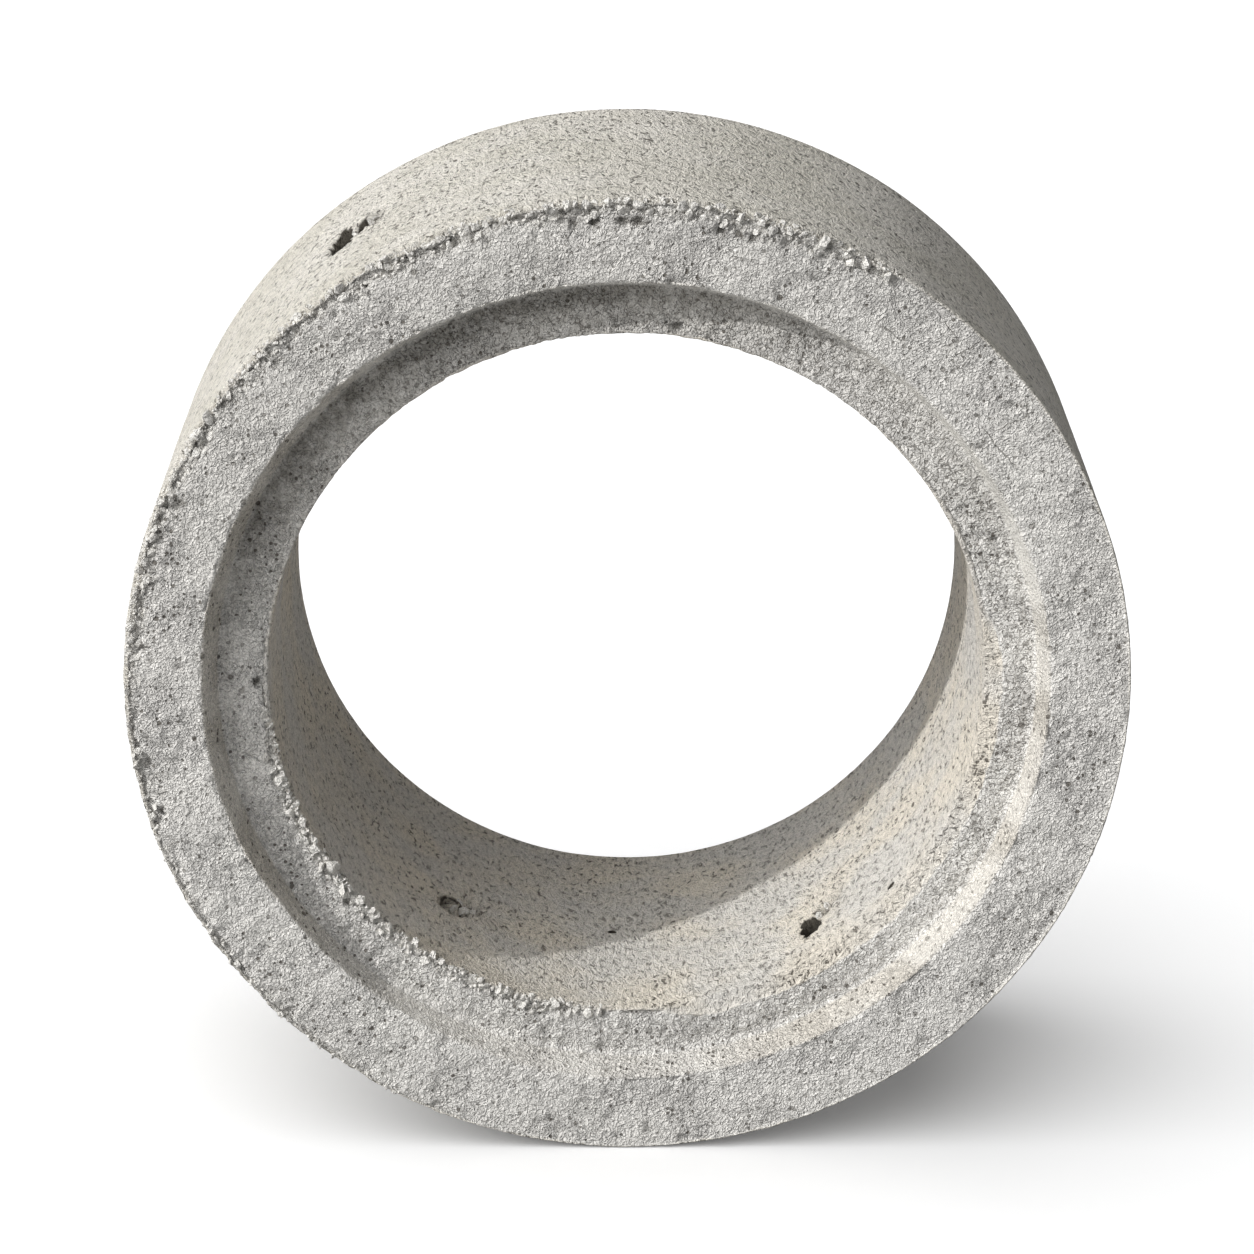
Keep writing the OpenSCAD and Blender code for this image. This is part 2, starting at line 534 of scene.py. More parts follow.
# %% The crumbled arris
# Round the ring the arris is worst at the top, and worn by rolling at the left.
worst = round_window(60, 174, 22)
rolled = round_window(168, 240, 24)
band = 0.0035 + 0.0165 * worst * (0.65 + 0.35 * patchy) + 0.006 * rolled
face_side = share_of["bearing"] * (1 - smooth(0.60, 1.0, (from_outside + torn) / band))
barrel_side = share_of["barrel"] * (1 - smooth(0.6, 1.0, (from_face + torn) / (0.55 * band + 0.0030)))
arris = face_side + barrel_side
arris_depth = 0.0003 + 0.0054 * worst * (0.5 + 0.5 * patchy) + 0.0024 * rolled
chamfer = 1 - smooth(0.0, 0.018, from_outside + from_face)
big_stones = stones(0.0125, 33, arris, share=0.6)
small_stones = stones(0.0070, 34, arris)
broken = arris * arris_depth * (0.10 + 0.45 * chamfer + 0.65 * big_stones)
broken += arris * (0.0002 + 0.0014 * worst) * small_stones
stone_top = arris * np.maximum(worst, rolled) * np.maximum(1 - 1.3 * big_stones, 0)
print(f"the arris has lost up to {broken.max() * 1000:.1f} mm")

# %% A groove behind the crumbled arris, at the upper left
GROOVE_IN = 0.0125
GROOVE_HALF = 0.0020
GROOVE_DEPTH = 0.0034
groove = np.exp(-(((from_outside - GROOVE_IN + torn) / GROOVE_HALF) ** 2)) * share_of["bearing"]
groove *= round_window(106, 152, 16) * (0.4 + 0.6 * patchy)
broken = np.maximum(broken, GROOVE_DEPTH * groove)
print(int((groove > 0.5).sum()), "points in the groove")

# %% The ragged edge of the ledge
ragged_edge = round_window(186, 264, 20)
ledge_side = share_of["ledge"] * (1 - smooth(0.4, 1.0, (from_bore + torn) / (0.004 + 0.010 * ragged_edge)))
bore_side = share_of["bore"] * (1 - smooth(0.3, 1.0, (from_ledge + torn) / 0.006))
ledge_edge = (ledge_side + bore_side) * (1 - smooth_lip)
ledge_depth = 0.0012 + 0.0040 * ragged_edge
edge_stones = stones(0.0085, 35, ledge_edge)
broken += ledge_edge * ledge_depth * (0.15 + 0.85 * edge_stones)
stone_top = np.maximum(stone_top, ledge_edge * ragged_edge * (1 - edge_stones))
edge_break = broken.copy()
print(f"the broken edges are up to {broken.max() * 1000:.1f} mm deep")

# %% [markdown]
# ## Hollows
# Single pieces are missing elsewhere too. A hollow is cut by pushing points inward round a centre, after
# a noise has torn the circle's edge. Many small hollows at random places and a few large ones where the
# casting has suffered most look right, and a fixed seed breaks the same pieces away each time.

# %% Ways to break hollows out of the skin
rag = grain(0.007, 6, 2)
dice = random.Random(11)


def skin_point(angle_deg, r, y):
    """A place given as degrees round the ring, distance from the axis and place along it."""
    spin = math.radians(angle_deg)
    return np.array([r * math.cos(spin), y, centre_z + r * math.sin(spin)])


def hollow_share(centre, radius, wall, length=1.0, ragged=0.8):
    """1 inside a torn circle, 0 outside it, and a slope between, as wide as `wall` times the radius.
    The circle may be drawn out to a longer shape along the ring's axis."""
    distance = np.sqrt((((rest - centre) / (1, length, 1)) ** 2).sum(axis=1)) / radius
    return smooth(0, wall, 1 - distance * (1 + ragged * rag))


def hollow(centre, radius, depth, wall=0.45):
    """Breaks a hollow out of the skin."""
    np.maximum(broken, depth * hollow_share(centre, radius, wall), out=broken)


def scatter(count, angles, r_range, y_range, radii, depth_share):
    """Hollows at random places between two angles, two distances from the axis and two places along it."""
    for _ in range(count):
        at = skin_point(dice.uniform(*angles), dice.uniform(*r_range), dice.uniform(*y_range))
        radius = radii[0] + (radii[1] - radii[0]) * dice.random() ** 2.2
        hollow(at, radius, radius * depth_share * dice.uniform(0.7, 1.2))


print(f"the noise that tears a hollow's border reaches {np.abs(rag).max():.2f}")

# %% Small hollows at random places
AT_FACE = (face_y, face_y + 0.002)
AT_LEDGE = (ledge_y, ledge_y + 0.004)
# How many, angles in degrees, distances from the axis, places along it, radii, and depth as a share of radius
scatter(46, (64, 170), (outer_r - 0.021, outer_r - 0.008), AT_FACE, (0.003, 0.0065), 0.60)
scatter(60, (60, 250), (outer_r - 0.006, outer_r), (face_y, face_y + 0.004), (0.0025, 0.0050), 0.45)
scatter(24, (-110, 60), (outer_r - 0.005, outer_r), (face_y, face_y + 0.003), (0.0020, 0.0036), 0.40)
scatter(50, (165, 250), (outer_r - 0.014, outer_r), AT_FACE, (0.003, 0.0065), 0.45)
scatter(18, (174, 200), (outer_r - 0.020, outer_r - 0.006), AT_FACE, (0.0035, 0.0065), 0.7)
scatter(190, (0, 360), (mouth_r + 0.004, outer_r - 0.004), AT_FACE, (0.002, 0.0042), 0.5)
scatter(70, (0, 360), (mouth_r - 0.003, mouth_r + 0.004), AT_FACE, (0.0025, 0.005), 0.35)
scatter(40, (186, 262), (bore_r, bore_r + 0.005), AT_LEDGE, (0.003, 0.0065), 0.6)
scatter(110, (0, 360), (bore_r, bore_r + 0.005), AT_LEDGE, (0.0025, 0.005), 0.4)
scatter(130, (0, 360), (bore_r + 0.004, heel_r - 0.004), AT_LEDGE, (0.002, 0.004), 0.5)
print(int((broken > edge_break).sum()), "points moved by the small hollows")

# %% Single large hollows
for spin in (96.1, 93.9, 90.6, 88.5, 79.2, 77.0, 75.3):
    hollow(skin_point(spin, outer_r - 0.019, face_y), radius=0.0058, depth=0.0052, wall=0.4)
hollow(skin_point(180.5, bore_r + 0.010, ledge_y), radius=0.0042, depth=0.0050)
hollow(skin_point(220, bore_r + 0.008, ledge_y), radius=0.0060, depth=0.0045)
hollow(skin_point(82.5, bore_r + 0.007, ledge_y), radius=0.0050, depth=0.0040)
print(int((broken > edge_break).sum()), "points moved by all the hollows")

# %% The torn mouths of the holes
torn_mouths = np.zeros(len(rest))
mouth_painted_shade = np.zeros(len(rest))


def tear(angle_deg, r, behind_face, radius, depth, length=1.0, dark=0.0, wall=0.25):
    """Tears concrete away beside a hole, and notes how much painted shade the place gets, from 0 to 1."""
    share = hollow_share(skin_point(angle_deg, r, face_y + behind_face), radius, wall, length, ragged=0.3)
    np.maximum(torn_mouths, depth * share, out=torn_mouths)
    np.maximum(mouth_painted_shade, dark * smooth(0.0, 0.2, share), out=mouth_painted_shade)


# Angle in degrees, distance from the axis, how far behind the bearing face, then the size, and how much
# painted shade the place gets
tear(125.0, outer_r, 0.170, radius=0.0130, depth=0.0180, length=2.9, dark=1.0)
tear(122.3, outer_r, 0.180, radius=0.0056, depth=0.0130, length=4.8, dark=1.0)
tear(120.6, outer_r, 0.186, radius=0.0120, depth=0.0045, length=2.6, dark=0.12, wall=0.5)
tear(302.2, bore_r, 0.100, radius=0.0096, depth=0.0120, length=2.0, dark=1.0)
tear(304.6, bore_r, 0.119, radius=0.0120, depth=0.0045, length=1.3, dark=0.13, wall=0.6)
tear(307.0, bore_r, 0.132, radius=0.0140, depth=0.0030, dark=0.05, wall=0.6)
tear(239.6, bore_r, 0.158, radius=0.0200, depth=0.0060, dark=0.05, wall=0.6)
tear(238.8, bore_r, 0.146, radius=0.0110, depth=0.0120, length=0.8, dark=0.17)
tear(242.6, bore_r, 0.176, radius=0.0150, depth=0.0060, dark=0.08, wall=0.6)
mouth_stones = stones(0.0085, 36, torn_mouths, share=0.7)
torn_mouths *= 0.7 + 0.4 * mouth_stones
broken = np.maximum(broken * (1 - 0.9 * lip), torn_mouths) * (1 - sunk_share)
print(f"the torn mouths are up to {torn_mouths.max() * 1000:.1f} mm deep")

# %% Mortar and stones in the choked pocket
pocket_angle, pocket_y, pocket_r, pocket_depth = choked_pocket
across = np.abs((angle - pocket_angle + math.pi) % (2 * math.pi) - math.pi) * bore_r
near_pocket = np.hypot(across, along - pocket_y) < pocket_r + 0.003
in_pocket = (share_of["bore"] > 0.99) * (sunk > 0.001) * near_pocket
choke = in_pocket * smooth(0.3 * pocket_depth, pocket_depth, sunk)
gap_depth = stones(0.0125, 37, choke)
CHOKED_TO = 0.75
broken -= choke * pocket_depth * CHOKED_TO * (1 - gap_depth)
print(int(in_pocket.sum()), "points in the choked pocket")

# %% Put the relief on the skin
# Near a corner the breakage goes straight into the corner, or the arc's points would cross each other. On
# the worn lip every point moves square to the slope that the wear has left, for the same reason.
backward = np.array([0.0, 1.0, 0.0])
lip_slope = turned * lip_deep[:, None] + backward * lip_wide[:, None]
lip_slope /= -np.linalg.norm(lip_slope, axis=1)[:, None]
out_of_skin = outward + lip[:, None] * (lip_slope - outward)
at_arris = (share_of["bearing"] + share_of["barrel"]) * (1 - smooth(0.005, 0.024, from_outside + from_face))
at_edge = (share_of["ledge"] + share_of["bore"]) * (1 - smooth(0.005, 0.020, from_bore + from_ledge))
inward = -outward
inward += at_arris[:, None] * ((backward - turned) / math.sqrt(2) - inward)
inward += at_edge[:, None] * ((backward + turned) / math.sqrt(2) - inward)
inward /= np.linalg.norm(inward, axis=1)[:, None]
skin = rest - out_of_skin * (removed + sunk)[:, None] + inward * broken[:, None]
skin += (lip_cut / 2)[:, None] * (turned * lip_wide[:, None] + backward * lip_deep[:, None])
skin -= turned * (mouth_in * at_mouth)[:, None]

tremble = np.stack([grain(0.006, seed) for seed in (21, 22, 23)], axis=1)
shake = 0.0007 * rough_end + 0.0010 * smooth(0, 0.003, broken) + 0.0018 * smooth(0.001, 0.006, sunk)
tremble *= shake[:, None]
skin += tremble


def keep_inside(places):
    """Brings points that stand out of the nominal shape back to it, and a hair further in."""
    hair = 0.00002
    from_axis = np.hypot(places[:, 0], places[:, 2] - centre_z)
    too_far = np.minimum(1, (outer_r - hair) / from_axis)
    places[:, 0] *= too_far
    places[:, 2] = centre_z + (places[:, 2] - centre_z) * too_far
    places[:, 1] = np.clip(places[:, 1], face_y + hair, tip_y - hair)


keep_inside(skin)
print(f"the deepest break is {broken.max() * 1000:.1f} mm")

# %% Make the mesh
mesh = bpy.data.meshes.new("riser_skin")
mesh.from_pydata(skin.tolist(), [], faces)
mesh.update()
riser = bpy.data.objects.new("riser_skin", mesh)
bpy.context.scene.collection.objects.link(riser)

shape = bmesh.new()
shape.from_mesh(mesh)
kept = np.array([vert.index for vert in shape.verts if vert.link_faces])
loose = [vert for vert in shape.verts if not vert.link_faces]
open_edges = sum(len(edge.link_faces) != 2 for edge in shape.edges)
bmesh.ops.delete(shape, geom=loose, context="VERTS")
bmesh.ops.recalc_face_normals(shape, faces=shape.faces)
shape.to_mesh(mesh)
shape.free()
mesh.shade_smooth()
triangles = sum(len(face.vertices) - 2 for face in mesh.polygons)
print(len(loose), "points left over by the openings,", open_edges, "open edges,", triangles, "triangles")


def paint(name, values, canvas=mesh):
    """Writes one number a point onto a mesh, where the material reads it."""
    layer = canvas.attributes.new(name, "FLOAT", "POINT")
    layer.data.foreach_set("value", np.asarray(values, np.float32))


# %% [markdown]
# ## Numbers for the material
# The mesh knows things that the material needs, such as which zone a point is in and how deep it is
# broken. Each is painted onto the points as a number, and the material blends by it with no image.
#
# A hairline crack is finer than the mesh, so each point only notes how far it is to the left or right of
# the nearest one. That number passes through zero on the line itself, wherever the line runs in a face.

# %% Where the hairline cracks run
# Where each part of a crack starts and ends: degrees round the ring, distance from the axis, place along it
CRACKS = [
    ((120.4, outer_r, face_y + 0.127), (120.2, outer_r, face_y + 0.169)),
    ((120.2, outer_r, face_y + 0.169), (119.5, outer_r, face_y + 0.198)),
    ((118.8, outer_r, face_y + 0.147), (117.2, outer_r, face_y + 0.156)),
    ((50.7, 0.408, face_y), (48.5, 0.403, face_y)),
    ((48.5, 0.403, face_y), (49.1, 0.394, face_y)),
    ((47.4, 0.394, face_y), (46.5, 0.414, face_y)),
    ((37.5, 0.410, face_y), (36.3, 0.403, face_y)),
    ((36.3, 0.403, face_y), (36.9, 0.378, face_y)),
    ((38.3, 0.369, face_y), (35.7, 0.369, face_y)),
    ((35.7, 0.369, face_y), (31.8, 0.373, face_y)),
    ((56.8, 0.375, face_y), (55.3, 0.376, face_y)),
    ((55.3, 0.376, face_y), (53.9, 0.374, face_y)),
    ((34.2, 0.318, ledge_y), (33.6, 0.332, ledge_y)),
    ((30.6, 0.328, ledge_y), (31.4, 0.339, ledge_y)),
    ((207.8, 0.312, ledge_y), (215.4, 0.311, ledge_y)),
    ((215.4, 0.311, ledge_y), (219.9, 0.308, ledge_y)),
    ((219.9, 0.308, ledge_y), (225.8, 0.309, ledge_y)),
]
crack_side = np.full(len(rest), 1.0)
crack_near = np.zeros(len(rest))
nearest = np.full(len(rest), 1.0)
for start, end in CRACKS:
    first_end = skin_point(*start)
    line = skin_point(*end) - first_end
    length = np.linalg.norm(line)
    line /= length
    away = rest - outward * sunk[:, None] - first_end
    reached = away @ line
    across_line = ((away - reached[:, None] * line) * np.cross(outward, line)).sum(axis=1)
    past_end = np.maximum(np.maximum(-reached, reached - length), 0)
    distance = np.hypot(across_line, past_end) + np.abs((away * outward).sum(axis=1))
    closer = distance < nearest
    nearest = np.minimum(nearest, distance)
    crack_side = np.where(closer, across_line, crack_side)
    crack_near = np.where(closer, 1 - smooth(0.0, 0.004, past_end), crack_near)
print(len(CRACKS), "parts of cracks")

# %% Paint the numbers onto the skin
# Painted shade inside the holes and the torn mouths: their walls and floors are painted dark, and the gaps
# between the stones of the choked pocket faintly.
hole_painted_shade = smooth(0.0003, 0.0030, sunk) * np.where(in_pocket, 0.05 + 0.2 * gap_depth, 1.0)
hole_painted_shade = np.maximum(hole_painted_shade, mouth_painted_shade * (0.75 + 0.25 * mouth_stones))
# Just behind the ledge, at the lower left, the bore is nearly as rough as the struck end.
cast_wall = share_of["bore"] * (1 - smooth(0.020, 0.045, from_ledge)) * round_window(236, 268, 16)
# Painted shade: a darker grey in the corner of the ledge near the top, where the rebate's edge casts its
# shade, and faintly on the bearing face above it.
damp = share_of["ledge"] * (0.15 + 0.85 * round_window(70, 165, 30)) * (0.4 + 0.6 * from_bore / ledge_w)
damp *= round_window(20, 175, 30) * (0.5 + 0.5 * smooth(-0.30, 0.30, grain(0.008, 51, 3)))
damp += 0.14 * share_of["bearing"] * round_window(60, 165, 50)
# Painted light: the side of the rebate at the upper right, which faces down into shade, is painted as pale as
# the stones.
painted_light_side = share_of["rebate_side"] * round_window(10, 128, 24)
paints = {
    "rough_end": np.maximum(rough_end, 0.8 * cast_wall) * (1 - lip),
    "barrel": share_of["barrel"],
    "bore": np.maximum(share_of["bore"], lip),
    "rebate_side": share_of["rebate_side"] * (1 - 0.55 * round_window(215, 292, 30)),
    "ledge": share_of["ledge"] * (1 - lip) * (0.35 + 0.65 * round_window(-40, 130, 30)),
    "trowelled": rough_end * (1 - struck_patch),
    "broken": smooth(0.0004, 0.0035, broken),
    "hollowed": smooth(0.0012, 0.0045, broken - edge_break - torn_mouths),
    # Painted shade inside the holes and the torn mouths
    "deep": hole_painted_shade,
    # Painted shade near the top of the ledge and on the bearing face above it
    "damp": damp,
    # Pale broken stones, and painted light on the side of the rebate at the upper right
    "stone_top": np.maximum(stone_top, painted_light_side),
    "crack_side": crack_side,
    "crack_near": crack_near,
}
for name, values in paints.items():
    paint(name, values[kept])
print(len(paints), "numbers on each point of the skin")
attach(riser, "root")
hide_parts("riser")

# %% [markdown]
# ## Stones that show
# Where an edge has crumbled, stones of the gravel stand clear of the paste, with sharp edges and a shadow
# under each. Their edges are finer than the skin's faces can draw. So each stone is a shape of its own: the
# tightest skin round a dozen random points, which has the flat sides of crushed gravel. Most stones are
# more than half sunk in the concrete, and all of them are joined in one mesh.

# %% Shape the stones
stone_dice = np.random.default_rng(5)
stone_points = []
stone_faces = []
stone_pale = []


def stone_shape(corner_count):
    """Points and triangles of an angular stone that is about 2 wide."""
    places = stone_dice.normal(size=(corner_count, 3))
    places /= np.linalg.norm(places, axis=1)[:, None]
    places *= stone_dice.uniform((0.95, 0.75, 0.55), (1.25, 1.05, 0.85))
    places = places @ np.linalg.qr(stone_dice.normal(size=(3, 3)))[0]
    hull = bmesh.new()
    for place in places:
        hull.verts.new(place)
    bmesh.ops.convex_hull(hull, input=hull.verts)
    bmesh.ops.triangulate(hull, faces=hull.faces)
    bmesh.ops.delete(hull, geom=[vert for vert in hull.verts if not vert.link_faces], context="VERTS")
    hull.verts.index_update()
    corners = np.array([vert.co[:] for vert in hull.verts])
    triangles_of_hull = np.array([[vert.index for vert in face.verts] for face in hull.faces])
    hull.free()
    return corners, triangles_of_hull


def add_stone(centre, radius, corner_count, pale):
    """Adds one stone. `pale` says how light its broken face is, from 0 to 1."""
    count = sum(len(places) for places in stone_points)
    corners, triangles_of_hull = stone_shape(corner_count)
    stone_points.append(centre + corners * radius)
    stone_faces.append(triangles_of_hull + count)
    stone_pale.append(np.full(len(corners), pale))


# %% Strew the stones where the concrete has crumbled
# How far a stone's middle lies below the skin, in radii, and how near two middles may be, in sums of radii
SUNK_BY = (-0.15, 0.45)
NEAREST = 0.62
ARRIS_PALE = (0.30, 0.95)
LEDGE_PALE = (0.45, 1.0)


def strew(where, count, radii, corner_count, pale):
    """Stones on random points of the skin where a share is high, none of them on top of another."""
    taken = np.empty((0, 4))
    for number in stone_dice.permutation(np.flatnonzero(where > 0.35)):
        radius = radii[0] + (radii[1] - radii[0]) * stone_dice.random() ** 1.6
        apart = np.sqrt(((taken[:, :3] - skin[number]) ** 2).sum(axis=1))
        if (apart < NEAREST * (taken[:, 3] + radius)).any():
            continue
        taken = np.vstack([taken, (*skin[number], radius)])
        sunk_by = stone_dice.uniform(*SUNK_BY) * radius
        add_stone(skin[number] + inward[number] * sunk_by, radius, corner_count, stone_dice.uniform(*pale))
        if len(taken) == count:
            break
    print(len(taken), "stones of", corner_count, "corners")


# Where, how many at most, radii, corners of a stone, and how pale
strew(arris * worst, 170, (0.0036, 0.0068), 14, ARRIS_PALE)
strew(arris * worst, 760, (0.0014, 0.0030), 9, ARRIS_PALE)
strew(arris * rolled, 60, (0.0030, 0.0050), 13, ARRIS_PALE)
strew(arris * rolled, 200, (0.0013, 0.0026), 9, ARRIS_PALE)
strew(ledge_edge * ragged_edge, 150, (0.0032, 0.0072), 13, LEDGE_PALE)
strew(ledge_edge * ragged_edge, 420, (0.0013, 0.0028), 9, LEDGE_PALE)

# %% Stones in and beside the torn mouths
MOUTH_STONE_CORNERS = 16
# Degrees round the ring, distance from the axis, how far behind the bearing face, radius, and how pale
SINGLE_STONES = [
    (123.4, outer_r - 0.0035, 0.184, 0.0040, 1.0),
    (123.4, outer_r - 0.0040, 0.174, 0.0036, 0.9),
    (121.3, outer_r - 0.0025, 0.190, 0.0048, 1.0),
    (120.9, outer_r - 0.0030, 0.174, 0.0044, 0.2),
    (120.4, outer_r - 0.0020, 0.182, 0.0034, 0.1),
    (303.9, bore_r + 0.0030, 0.118, 0.0040, 0.5),
    (305.6, bore_r + 0.0035, 0.126, 0.0046, 0.6),
    (239.9, bore_r + 0.0060, 0.161, 0.0062, 0.5),
    (241.4, bore_r + 0.0055, 0.166, 0.0055, 0.7),
    (243.0, bore_r + 0.0055, 0.172, 0.0050, 0.5),
    (240.6, bore_r + 0.0050, 0.180, 0.0044, 0.3),
]
for spin, r, behind_face, radius, pale in SINGLE_STONES:
    add_stone(skin_point(spin, r, face_y + behind_face), radius, MOUTH_STONE_CORNERS, pale)
print(len(SINGLE_STONES), "stones set by hand")

# %% Join the stones
gravel_places = np.vstack(stone_points)
keep_inside(gravel_places)
gravel_mesh = bpy.data.meshes.new("exposed_stones")
gravel_mesh.from_pydata(gravel_places.tolist(), [], np.vstack(stone_faces).tolist())
gravel = bpy.data.objects.new("exposed_stones", gravel_mesh)
bpy.context.scene.collection.objects.link(gravel)
pale_share = np.concatenate(stone_pale)
paint("rough_end", np.ones(len(gravel_places)), gravel_mesh)
paint("trowelled", np.ones(len(gravel_places)), gravel_mesh)
paint("stone_top", pale_share, gravel_mesh)
paint("broken", 0.5 * (1 - pale_share), gravel_mesh)
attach(gravel, "root")
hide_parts("riser")
print(len(stone_points), "stones with", len(gravel_mesh.polygons), "triangles")

# %% [markdown]
# ## Shader maths as Python
# A material is a graph of nodes. Writing one node at a time hides the idea, so a small class wraps the
# wire that leaves a node: adding or multiplying wires adds the node that does it. Numbers go through Math
# nodes, vectors through Vector Math, and colours through Mix, because a Math node would turn a colour
# grey.

# %% Wires


class Wire:
    """A number, vector or colour on its way from one node to the next."""

    def __init__(self, finish, socket):
        self.finish = finish
        self.socket = socket

    def combine(self, operation, first, second):
        """Adds the node that does one operation on two wires or values, of the kind that suits them."""
        kinds = {part.socket.type for part in (first, second) if isinstance(part, Wire)}
        with_list = any(isinstance(part, tuple) for part in (first, second))
        if "VECTOR" in kinds or (with_list and "RGBA" not in kinds):
            return self.finish.node("VectorMath", {"operation": operation}, first, second)
        if "RGBA" in kinds:
            settings = {"data_type": "RGBA", "blend_type": operation}
            return self.finish.node("Mix", settings, 1.0, first, second)
        return self.finish.node("Math", {"operation": operation}, first, second)

    def __add__(self, other):
        return self.combine("ADD", self, other)

    def __radd__(self, other):
        return self.combine("ADD", other, self)

    def __sub__(self, other):
        return self.combine("SUBTRACT", self, other)

    def __rsub__(self, other):
        return self.combine("SUBTRACT", other, self)

    def __mul__(self, other):
        return self.combine("MULTIPLY", self, other)

    def __rmul__(self, other):
        return self.combine("MULTIPLY", other, self)

    def __abs__(self):
        return self.finish.node("Math", {"operation": "ABSOLUTE"}, self)


# %% Finishes


class Finish:
    """A material, or the sky, under construction: the tree of nodes that the wires run in."""

    def __init__(self, owner):
        owner.use_nodes = True
        self.tree = owner.node_tree
        self.tree.nodes.clear()
        self.places = {}

    def node(self, kind, settings=None, *ordered, output=0, **named):
        """Adds any node: its settings first, then the values or wires of its sockets, by order or by
        name."""
        made = self.tree.nodes.new("ShaderNode" + kind)
        for name, value in (settings or {}).items():
            setattr(made, name, value)
        sockets = [socket for socket in made.inputs if socket.enabled]
        filled = list(zip(sockets, ordered))
        for name, value in named.items():
            wanted = name.replace("_", " ")
            filled.append((next(s for s in sockets if s.name.lower() == wanted), value))
        for socket, value in filled:
            if isinstance(value, Wire):
                self.tree.links.new(value.socket, socket)
            else:
                socket.default_value = self.fitted(socket, value)
        outputs = [socket for socket in made.outputs if socket.enabled]
        if isinstance(output, str):
            return Wire(self, made.outputs[output])
        return Wire(self, outputs[output]) if outputs else None

    @staticmethod
    def fitted(socket, value):
        """A value in the form that the socket takes: a colour has four numbers and a vector three."""
        if socket.type == "RGBA":
            return (*value[:3], 1.0) if hasattr(value, "__len__") else (value, value, value, 1.0)
        if socket.type == "VECTOR" and not hasattr(value, "__len__"):
            return (value, value, value)
        return value

    def painted(self, name):
        """The number that was painted onto the mesh under this name."""
        return self.node("Attribute", {"attribute_type": "GEOMETRY", "attribute_name": name}, output="Fac")

    def place(self, stretch=(1.0, 1.0, 1.0)):
        """Where a point lies on the object, with each direction divided by its stretch. Every texture
        with the same stretch shares the wire, because a renderer has room for only so many wires at a
        time."""
        if stretch not in self.places:
            coordinates = self.node("TexCoord", output="Object")
            self.places[stretch] = coordinates * tuple(1 / part for part in stretch)
        return self.places[stretch]

    def cloud(self, size, stretch=(1.0, 1.0, 1.0), detail=2.0, roughness=0.5, distortion=0.0):
        """Noise from 0 to 1 with lumps of that size, in metres."""
        values = {"scale": 1 / size, "detail": detail, "roughness": roughness, "distortion": distortion}
        return self.node("TexNoise", None, self.place(stretch), **values)

    def step(self, value, start, end, low=0.0, high=1.0):
        """A soft step from low to high as the value runs from start to end."""
        return self.node("MapRange", {"interpolation_type": "SMOOTHSTEP"}, value, start, end, low, high)

    def blend(self, first, second, share):
        """The first colour where the share is 0 and the second where it is 1."""
        return self.node("Mix", {"data_type": "RGBA"}, share, first, second)

    def larger(self, first, second):
        """The larger of two numbers."""
        return self.node("Math", {"operation": "MAXIMUM"}, first, second)

    def pits(self, size, share, widest, stretch=(1.0, 1.0, 1.0), ragged=0.25):
        """Ragged pits in a share of the cells of a cloud. A cell is one size wide, and the widest pit
        has that many cells for its radius. The wire is 1 in a pit and 0 outside."""
        wobble = self.cloud(size * 0.45, stretch, detail=0.0)
        cells = self.node("TexVoronoi", None, self.place(stretch), scale=1 / size)
        chance = self.node("SeparateColor", None, Wire(self, cells.socket.node.outputs["Color"]))
        radius = self.node("MapRange", None, chance, 1 - share, 1.0, -0.2, widest)
        edge = radius - cells - (wobble - 0.5) * ragged
        return self.step(edge, 0.0, 0.07)


# %% Colours


def cement(red, green, blue):
    """A colour given as it looks on a colour card, from 0 to 255, in the form that nodes take."""
    return tuple((part / 255) ** 2.2 for part in (red, green, blue))


print("a mid grey of 128 is", round(cement(128, 128, 128)[0], 3), "to a node")

# %% [markdown]
# ## The concrete
# Dry concrete is a pale grey with three things in it: clouds of slightly warmer and cooler cement paste,
# the dark mouths of blow holes where air was trapped against the mould, and, wherever the skin has broken
# away, the grit behind it. The open end was never against a mould, so its paste stands in small worms and
# grains. That is finer than the mesh can hold, so it is a bump.
#
# The barrel and the bore were cast against a mould that was drawn off along the axis while the concrete
# was fresh, so their marks and blow holes are drawn out that way. Stretching the noise along the axis
# does that with no seam.

# %% What the mesh tells the material
concrete_material = bpy.data.materials.new("riser_concrete")
concrete = Finish(concrete_material)
on_rough_end = concrete.painted("rough_end")
on_barrel = concrete.painted("barrel")
on_bore = concrete.painted("bore")
on_rebate_side = concrete.painted("rebate_side")
on_ledge = concrete.painted("ledge")
on_trowelled = concrete.painted("trowelled")
on_broken = concrete.painted("broken")
in_hollow = concrete.painted("hollowed")
on_painted_hole_shade = concrete.painted("deep")
stone_tops_and_painted_light = concrete.painted("stone_top")
on_painted_shade = concrete.painted("damp")
print(len(concrete.tree.nodes), "painted numbers are read")

# %% Tones of the skin
END_GREY = cement(226, 223, 218)
END_LIGHT = cement(238, 235, 229)
BARREL_WARM = cement(226, 221, 209)
BARREL_PALE = cement(235, 230, 220)
BORE_WARM = cement(232, 224, 210)
BORE_GREY = cement(223, 219, 212)
REBATE_CREAM = cement(216, 209, 197)
PIT_DARK = cement(84, 77, 67)
# The dark grey of the painted shade inside the holes and torn mouths
PAINTED_HOLE_SHADE = cement(76, 72, 65)
GRIT_BROWN = cement(198, 191, 179)
# The grey of the painted shade near the top of the ledge
PAINTED_SHADE_GREY = cement(150, 145, 136)
# Pale of the broken stones, also used for the painted light on the side of the rebate
STONE_PALE_AND_PAINTED_LIGHT = cement(236, 233, 226)

